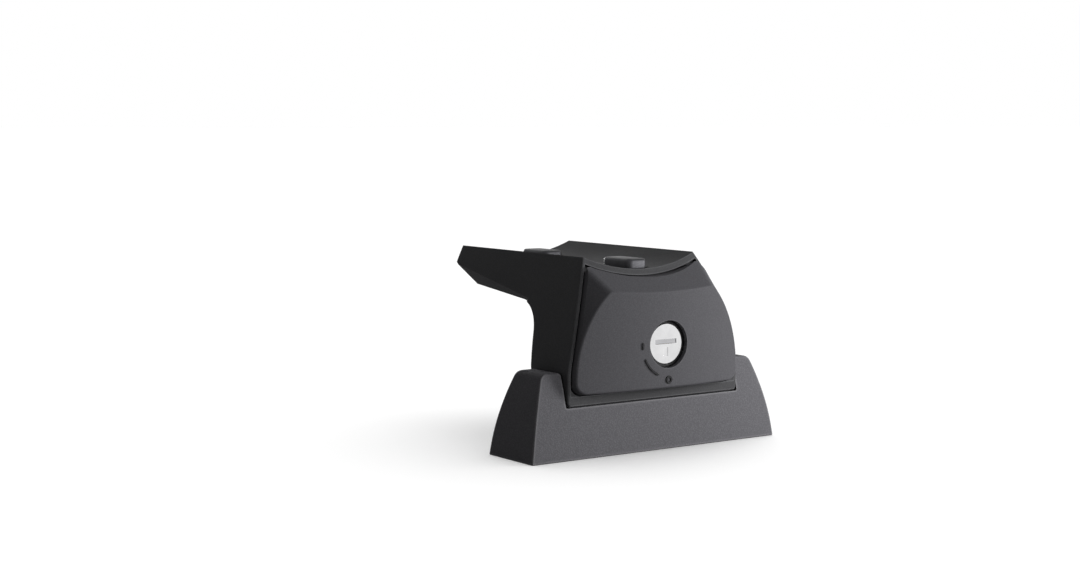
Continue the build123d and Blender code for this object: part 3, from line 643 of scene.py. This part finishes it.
tee_shells = []
for y in seat_bolts_at:
    tee_shells += [tee_head(y), threaded_shank(0.0, y, shank_tip, shank_top, shank_radius, shank_pitch)]
tee_mesh = shell_mesh("seat_bolts_forged", tee_shells)
seat_bolts = fit_piece("seat_bolts_forged", tee_mesh, black_oxide, "foot")
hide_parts("seat_bolts")
nut_mesh = shell_mesh("seat_nuts_chamfered", [hexagon_nut(y) for y in seat_bolts_at])
seat_nuts = fit_piece("seat_nuts_chamfered", nut_mesh, black_oxide, "foot")
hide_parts("seat_nuts")
finish_nodes(black_oxide, "seat_bolts", "seat_nuts", "seat_washers")


# Cover: a thin crowned panel moulded in black nylon, held by two pegs below and by the lock.
# It pulls straight off the leg once the lock is open.
# The marks round the lock stand up from the mould's skin and are polished, and their colour is far
# darker than the panel's.

cover_nylon = moulded_finish(
    "cover_nylon",
    dark=(0.071, 0.070, 0.076),
    pale=(0.091, 0.090, 0.097),
    scuff_highlight_colour=(0.16, 0.16, 0.168),
    scuff_highlight_reach_gain=(0.0007, 5.0),
    grains=2600.0,
    relief=(0.18, 0.00012),
    rough=(0.45, 0.65),
    shine=0.03,
)
finish_nodes(cover_nylon, "front_cover")

lock_x, lock_z = 1.9, 42.9
crown_front, crown_radius = -19.2, 210.0
mark_radius, mark_half = 13.0, 0.5
mark_root, mark_shoulder, mark_top = -0.3, 0.26, 0.44


def on_crown(x, z, rise):
    """A point that stands a little out of the crowned panel, in millimetres from the lock's axis."""
    across = lock_x + x
    y = crown_front + crown_radius - math.sqrt(crown_radius ** 2 - across ** 2) - rise
    return Vector((across, y, lock_z + z)) * mm


def raised_stroke(path):
    """A low rounded stroke along points on the panel, with blunt round ends."""
    section = [(1.0, mark_root), (1.0, mark_shoulder), (0.72, mark_top)]
    section = [(-aside, rise) for aside, rise in section] + section[::-1]
    rings = []
    for i, (x, z) in enumerate(path):
        ahead = Vector(path[min(i + 1, len(path) - 1)]) - Vector(path[max(i - 1, 0)])
        half = mark_half * (0.55 if i in (0, len(path) - 1) else 1.0)
        aside = Vector((-ahead.y, ahead.x)).normalized() * half
        rings.append([on_crown(x + aside.x * s, z + aside.y * s, rise) for s, rise in section])
    return rings, False


def turn_point(radius, degrees):
    """A point round the lock's axis."""
    angle = math.radians(degrees)
    return radius * math.cos(angle), radius * math.sin(angle)


tick = [(-mark_radius, -1.4 + 0.35 * i) for i in range(9)]
arc = [turn_point(mark_radius, 204.0 + 2.0 * i) for i in range(22)]
loop_drop, loop_inner, loop_outer = -14.2, 0.74, 1.66
loop_section = [
    (loop_inner, mark_root), (loop_inner, mark_shoulder), (loop_inner + 0.12, mark_top),
    (loop_outer - 0.14, mark_top), (loop_outer, mark_shoulder), (loop_outer, mark_root),
]
loop = []
for i in range(24):
    out = Vector(turn_point(1.0, 15.0 * i))
    loop.append([on_crown(out.x * r, loop_drop + out.y * r, rise) for r, rise in loop_section])
mark_black = moulded_finish(
    "mark_black",
    dark=(0.021, 0.021, 0.022),
    pale=(0.027, 0.027, 0.029),
    scuff_highlight_colour=(0.065, 0.065, 0.068),
    scuff_highlight_reach_gain=(0.0004, 5.0),
    grains=5200.0,
    relief=(0.03, 0.00005),
    rough=(0.24, 0.36),
    shine=0.10,
)
mark_mesh = shell_mesh("lock_marks", [raised_stroke(tick), raised_stroke(arc), (loop, True)])
fit_piece("lock_marks", mark_mesh, mark_black, "cover")


# Lock housing: a die-cast shell with a thin flange, its body threaded for the nut behind the cover.
# It is painted black, and the thread is rubbed bright on its crests, partly as a painted highlight.

def lock_ring(y, radius, count):
    """Points round the lock's axis at a depth, in millimetres; the radius may change with the angle."""
    ring = []
    for i in range(count):
        angle = 2.0 * math.pi * i / count
        r = radius(angle) if callable(radius) else radius
        ring.append(Vector((lock_x + r * math.cos(angle), y, lock_z + r * math.sin(angle))) * mm)
    return ring


flange_front, flange_back, flange_radius = -16.7, -14.4, 9.4
face_recess, face_radius, plug_bore = -14.9, 8.4, 6.05
thread_start, thread_step, thread_levels = -14.2, 0.165, 68
thread_radius, thread_depth, thread_pitch = 8.0, 0.45, 1.0
housing_back = -3.0


def housing_thread(y):
    """Radius of the housing's thread at a depth, as it changes with the angle."""
    def helix(angle):
        turn = (y / thread_pitch - angle / (2.0 * math.pi)) % 1.0
        return thread_radius - thread_depth * abs(2.0 * turn - 1.0)
    return helix


housing_steps = [
    (flange_front, face_radius), (flange_front, flange_radius - 0.15),
    (flange_front + 0.15, flange_radius), (flange_back, flange_radius),
    (flange_back, thread_radius - 0.2),
]
for i in range(thread_levels):
    y = thread_start + thread_step * i
    housing_steps.append((y, housing_thread(y)))
housing_steps += [
    (housing_back, thread_radius - 0.7), (housing_back, plug_bore),
    (face_recess, plug_bore), (face_recess, face_radius),
]
housing_rings = [lock_ring(y, radius, 96) for y, radius in housing_steps]
lock_paint = moulded_finish(
    "lock_paint",
    dark=(0.014, 0.014, 0.015),
    pale=(0.019, 0.019, 0.020),
    scuff_highlight_colour=(0.10, 0.10, 0.103),
    scuff_highlight_reach_gain=(0.0004, 5.0),
    grains=3500.0,
    relief=(0.06, 0.0001),
    rough=(0.4, 0.55),
    shine=0.10,
)
housing_mesh = shell_mesh("lock_housing_threaded", [(housing_rings, True)])
housing = fit_piece("lock_housing_threaded", housing_mesh, lock_paint, "cover")
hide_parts("lock_housing")
finish_nodes(lock_paint, "lock_housing")


# Lock nut: a thin hexagon nut, stamped from steel strip, tapped and zinc plated.
# It runs on the housing's thread and clamps it to the boss inside the cover.

finish_nodes(zinc_plate, "lock_nut")


# Lock plug and shutter: a zinc casting faced on a lathe and finished in satin chrome.
# A sprung shutter of grey spring steel closes the key slot, and four brass wafers ride in the plug.

def turned_finish(name, colour, stain, rough):
    """Satin chrome on a faced end: fine rings round the lock's axis and faint stains."""
    finish, tree, shader = start_finish(name)
    shader.inputs["Metallic"].default_value = 1.0
    skin = use_effect(tree, handled_skin, Drifts_per_metre=210.0)
    edges = use_effect(tree, scuff_and_highlight, Reach=0.0003, Gain=4.0)
    plating = blend_colour(tree, skin.outputs["Drift"], stain, colour)
    bright = tuple(min(1.0, 1.2 * part) for part in colour)
    # Edges turn brighter: partly wear, partly a painted highlight.
    scuffed_highlit = blend_colour(tree, edges.outputs["Mask"], plating, bright)
    tree.links.new(scuffed_highlit, shader.inputs["Base Color"])
    where = place(tree, "TexCoord")
    centre = place(tree, "VectorMath", operation="SUBTRACT")
    centre.inputs[1].default_value = (mm * lock_x, 0.0, mm * lock_z)
    flat = place(tree, "VectorMath", operation="MULTIPLY")
    flat.inputs[1].default_value = (1.0, 0.0, 1.0)
    reach = place(tree, "VectorMath", operation="LENGTH")
    tree.links.new(where.outputs["Object"], centre.inputs[0])
    tree.links.new(centre.outputs[0], flat.inputs[0])
    tree.links.new(flat.outputs[0], reach.inputs[0])
    rings = place(tree, "TexNoise", noise_dimensions="1D")
    rings.inputs["Scale"].default_value = 5200.0
    rings.inputs["Detail"].default_value = 2.0
    tree.links.new(reach.outputs["Value"], rings.inputs["W"])
    tree.links.new(spread(tree, rings.outputs["Fac"], rough[0], rough[1]), shader.inputs["Roughness"])
    raise_relief(tree, shader, rings.outputs["Fac"], 0.10, 0.00004)
    return finish


lock_chrome = turned_finish(
    "lock_chrome",
    colour=(0.74, 0.74, 0.74),
    stain=(0.56, 0.56, 0.57),
    rough=(0.09, 0.15),
)
finish_nodes(lock_chrome, "lock_plug")
shutter_steel = plated_finish(
    "shutter_steel",
    colour=(0.44, 0.44, 0.45),
    stain=(0.34, 0.34, 0.35),
    rough=(0.12, 0.2),
    lines=(300.0, 300.0, 5200.0),
)
finish_nodes(shutter_steel, "lock_shutter")

wafer_brass = plated_finish(
    "wafer_brass",
    colour=(0.62, 0.44, 0.18),
    stain=(0.46, 0.31, 0.12),
    rough=(0.3, 0.45),
    lines=(1500.0, 1500.0, 300.0),
)
finish_nodes(wafer_brass, "lock_wafers")


# Tongue, washer and screw: the tongue is stamped steel that swings behind the leg's frame.
# A pan-head screw and its washer hold it on the plug's tenon; all are zinc plated.

finish_nodes(zinc_plate, "lock_tongue", "tongue_washer", "tongue_screw")


# Studio: a plain white floor that runs into a white surround, with a soft glow behind and at the left.
# A round soft lamp stands near at the front right, a weaker one in front and one behind.
# A wide lamp overhead lights the floor alone, so that it keeps the foot's shadow.

floor_half = 30.0
floor_drop = 0.0001
floor_sides = ((-1, -1), (1, -1), (1, 1), (-1, 1))
floor_corners = [(sx * floor_half, sy * floor_half, -floor_drop) for sx, sy in floor_sides]
floor_mesh = bpy.data.meshes.new("floor")
floor_mesh.from_pydata(floor_corners, [], [(0, 1, 2, 3)])
floor = bpy.data.objects.new("floor", floor_mesh)
bpy.context.scene.collection.objects.link(floor)


def seen_rays(tree):
    """One for rays that show the surround itself: to the camera, in gloss and through glass."""
    rays = place(tree, "LightPath")
    seen = reckon(tree, "MAXIMUM", rays.outputs["Is Camera Ray"], rays.outputs["Is Glossy Ray"])
    return reckon(tree, "MAXIMUM", seen, rays.outputs["Is Transmission Ray"])


floor_paper = bpy.data.materials.new("floor_paper")
floor_paper.use_nodes = True
tree = floor_paper.node_tree
tree.nodes.clear()
seen = seen_rays(tree)
paper_shade, paper_white, paper_lift = (0.17, 0.17, 0.17), (0.9, 0.9, 0.9), 0.12
paper = place(tree, "BsdfDiffuse")
tree.links.new(blend_colour(tree, seen, paper_shade, paper_white), paper.inputs["Color"])
lift = place(tree, "Emission")
tree.links.new(reckon(tree, "MULTIPLY", seen, paper_lift), lift.inputs["Strength"])
both = place(tree, "AddShader")
tree.links.new(paper.outputs[0], both.inputs[0])
tree.links.new(lift.outputs[0], both.inputs[1])
tree.links.new(both.outputs[0], place(tree, "OutputMaterial").inputs["Surface"])
floor_mesh.materials.append(floor_paper)

world = bpy.data.worlds.new("studio")
bpy.context.scene.world = world
world.use_nodes = True
tree = world.node_tree
tree.nodes.clear()
where = place(tree, "TexCoord")
glow = 0.035
glow_behind, glow_left = ((0.5, 0.8, 0.25), 0.45), ((-0.9, -0.1, 0.45), 0.15)
for towards, strength in (glow_behind, glow_left):
    lobe = place(tree, "VectorMath", operation="DOT_PRODUCT")
    tree.links.new(where.outputs["Generated"], lobe.inputs[0])
    lobe.inputs[1].default_value = Vector(towards).normalized()
    fade = reckon(tree, "POWER", reckon(tree, "MAXIMUM", lobe.outputs["Value"], 0.0), 2.0)
    glow = reckon(tree, "ADD", reckon(tree, "MULTIPLY", fade, strength), glow)
level = place(tree, "Mix", data_type="FLOAT")
tree.links.new(seen_rays(tree), level.inputs["Factor"])
tree.links.new(glow, level.inputs[2])
level.inputs[3].default_value = 1.0
backdrop = place(tree, "Background")
backdrop.inputs["Color"].default_value = (1.0, 1.0, 1.0, 1.0)
tree.links.new(level.outputs[0], backdrop.inputs["Strength"])
tree.links.new(backdrop.outputs[0], place(tree, "OutputWorld").inputs["Surface"])


def aim_lamp(name, kind, azimuth, elevation, distance):
    """A lamp that faces the foot; azimuth turns from the front to the right."""
    lamp = bpy.data.objects.new(name, bpy.data.lights.new(name, kind))
    a, e = math.radians(azimuth), math.radians(elevation)
    towards = Vector((math.sin(a) * math.cos(e), -math.cos(a) * math.cos(e), math.sin(e)))
    lamp.location = towards * distance + Vector((0.0, 0.0, 0.035))
    lamp.rotation_mode = "QUATERNION"
    lamp.rotation_quaternion = towards.to_track_quat("Z", "Y")
    bpy.context.scene.collection.objects.link(lamp)
    return lamp


def light_only(lamp, name, things):
    """Keeps a lamp's light to some of the things in the scene."""
    lit = bpy.data.collections.new(name)
    for thing in things:
        lit.objects.link(thing)
    lamp.light_linking.receiver_collection = lit


foot_parts = [thing for thing in bpy.context.scene.objects if thing.type == "MESH" and thing != floor]

key_distance = 0.33
key_level = 1.3
key = aim_lamp("key", "AREA", azimuth=53.0, elevation=12.0, distance=key_distance)
key.data.shape = "DISK"
key.data.size = 0.14
key.data.energy = key_level * math.pi ** 2 * key_distance ** 2
light_only(key, "lit_by_key", foot_parts)

fill_level = 0.54
fill = aim_lamp("fill", "SUN", azimuth=18.0, elevation=5.0, distance=1.0)
fill.data.energy = fill_level * math.pi
fill.data.angle = math.radians(30.0)
light_only(fill, "lit_by_fill", foot_parts)

back_level = 0.45
back = aim_lamp("back", "SUN", azimuth=170.0, elevation=8.0, distance=1.0)
back.data.energy = back_level * math.pi
back.data.angle = math.radians(16.0)
light_only(back, "lit_by_back", foot_parts)

overhead_level = 0.98
overhead = aim_lamp("overhead", "SUN", azimuth=98.0, elevation=66.0, distance=1.0)
overhead.data.energy = overhead_level * math.pi
overhead.data.angle = math.radians(96.0)
light_only(overhead, "lit_by_overhead", [floor])

camera = bpy.data.objects.new("camera", bpy.data.cameras.new("camera"))
camera.location = (-0.46187, -0.59073, 0.13140)
camera.rotation_euler = (math.radians(84.814), 0.0, math.radians(-35.05))
camera.data.lens = 61.89
camera.data.sensor_width = 36.0
bpy.context.scene.collection.objects.link(camera)
bpy.context.scene.camera = camera
bpy.context.scene.view_settings.view_transform = "Standard"
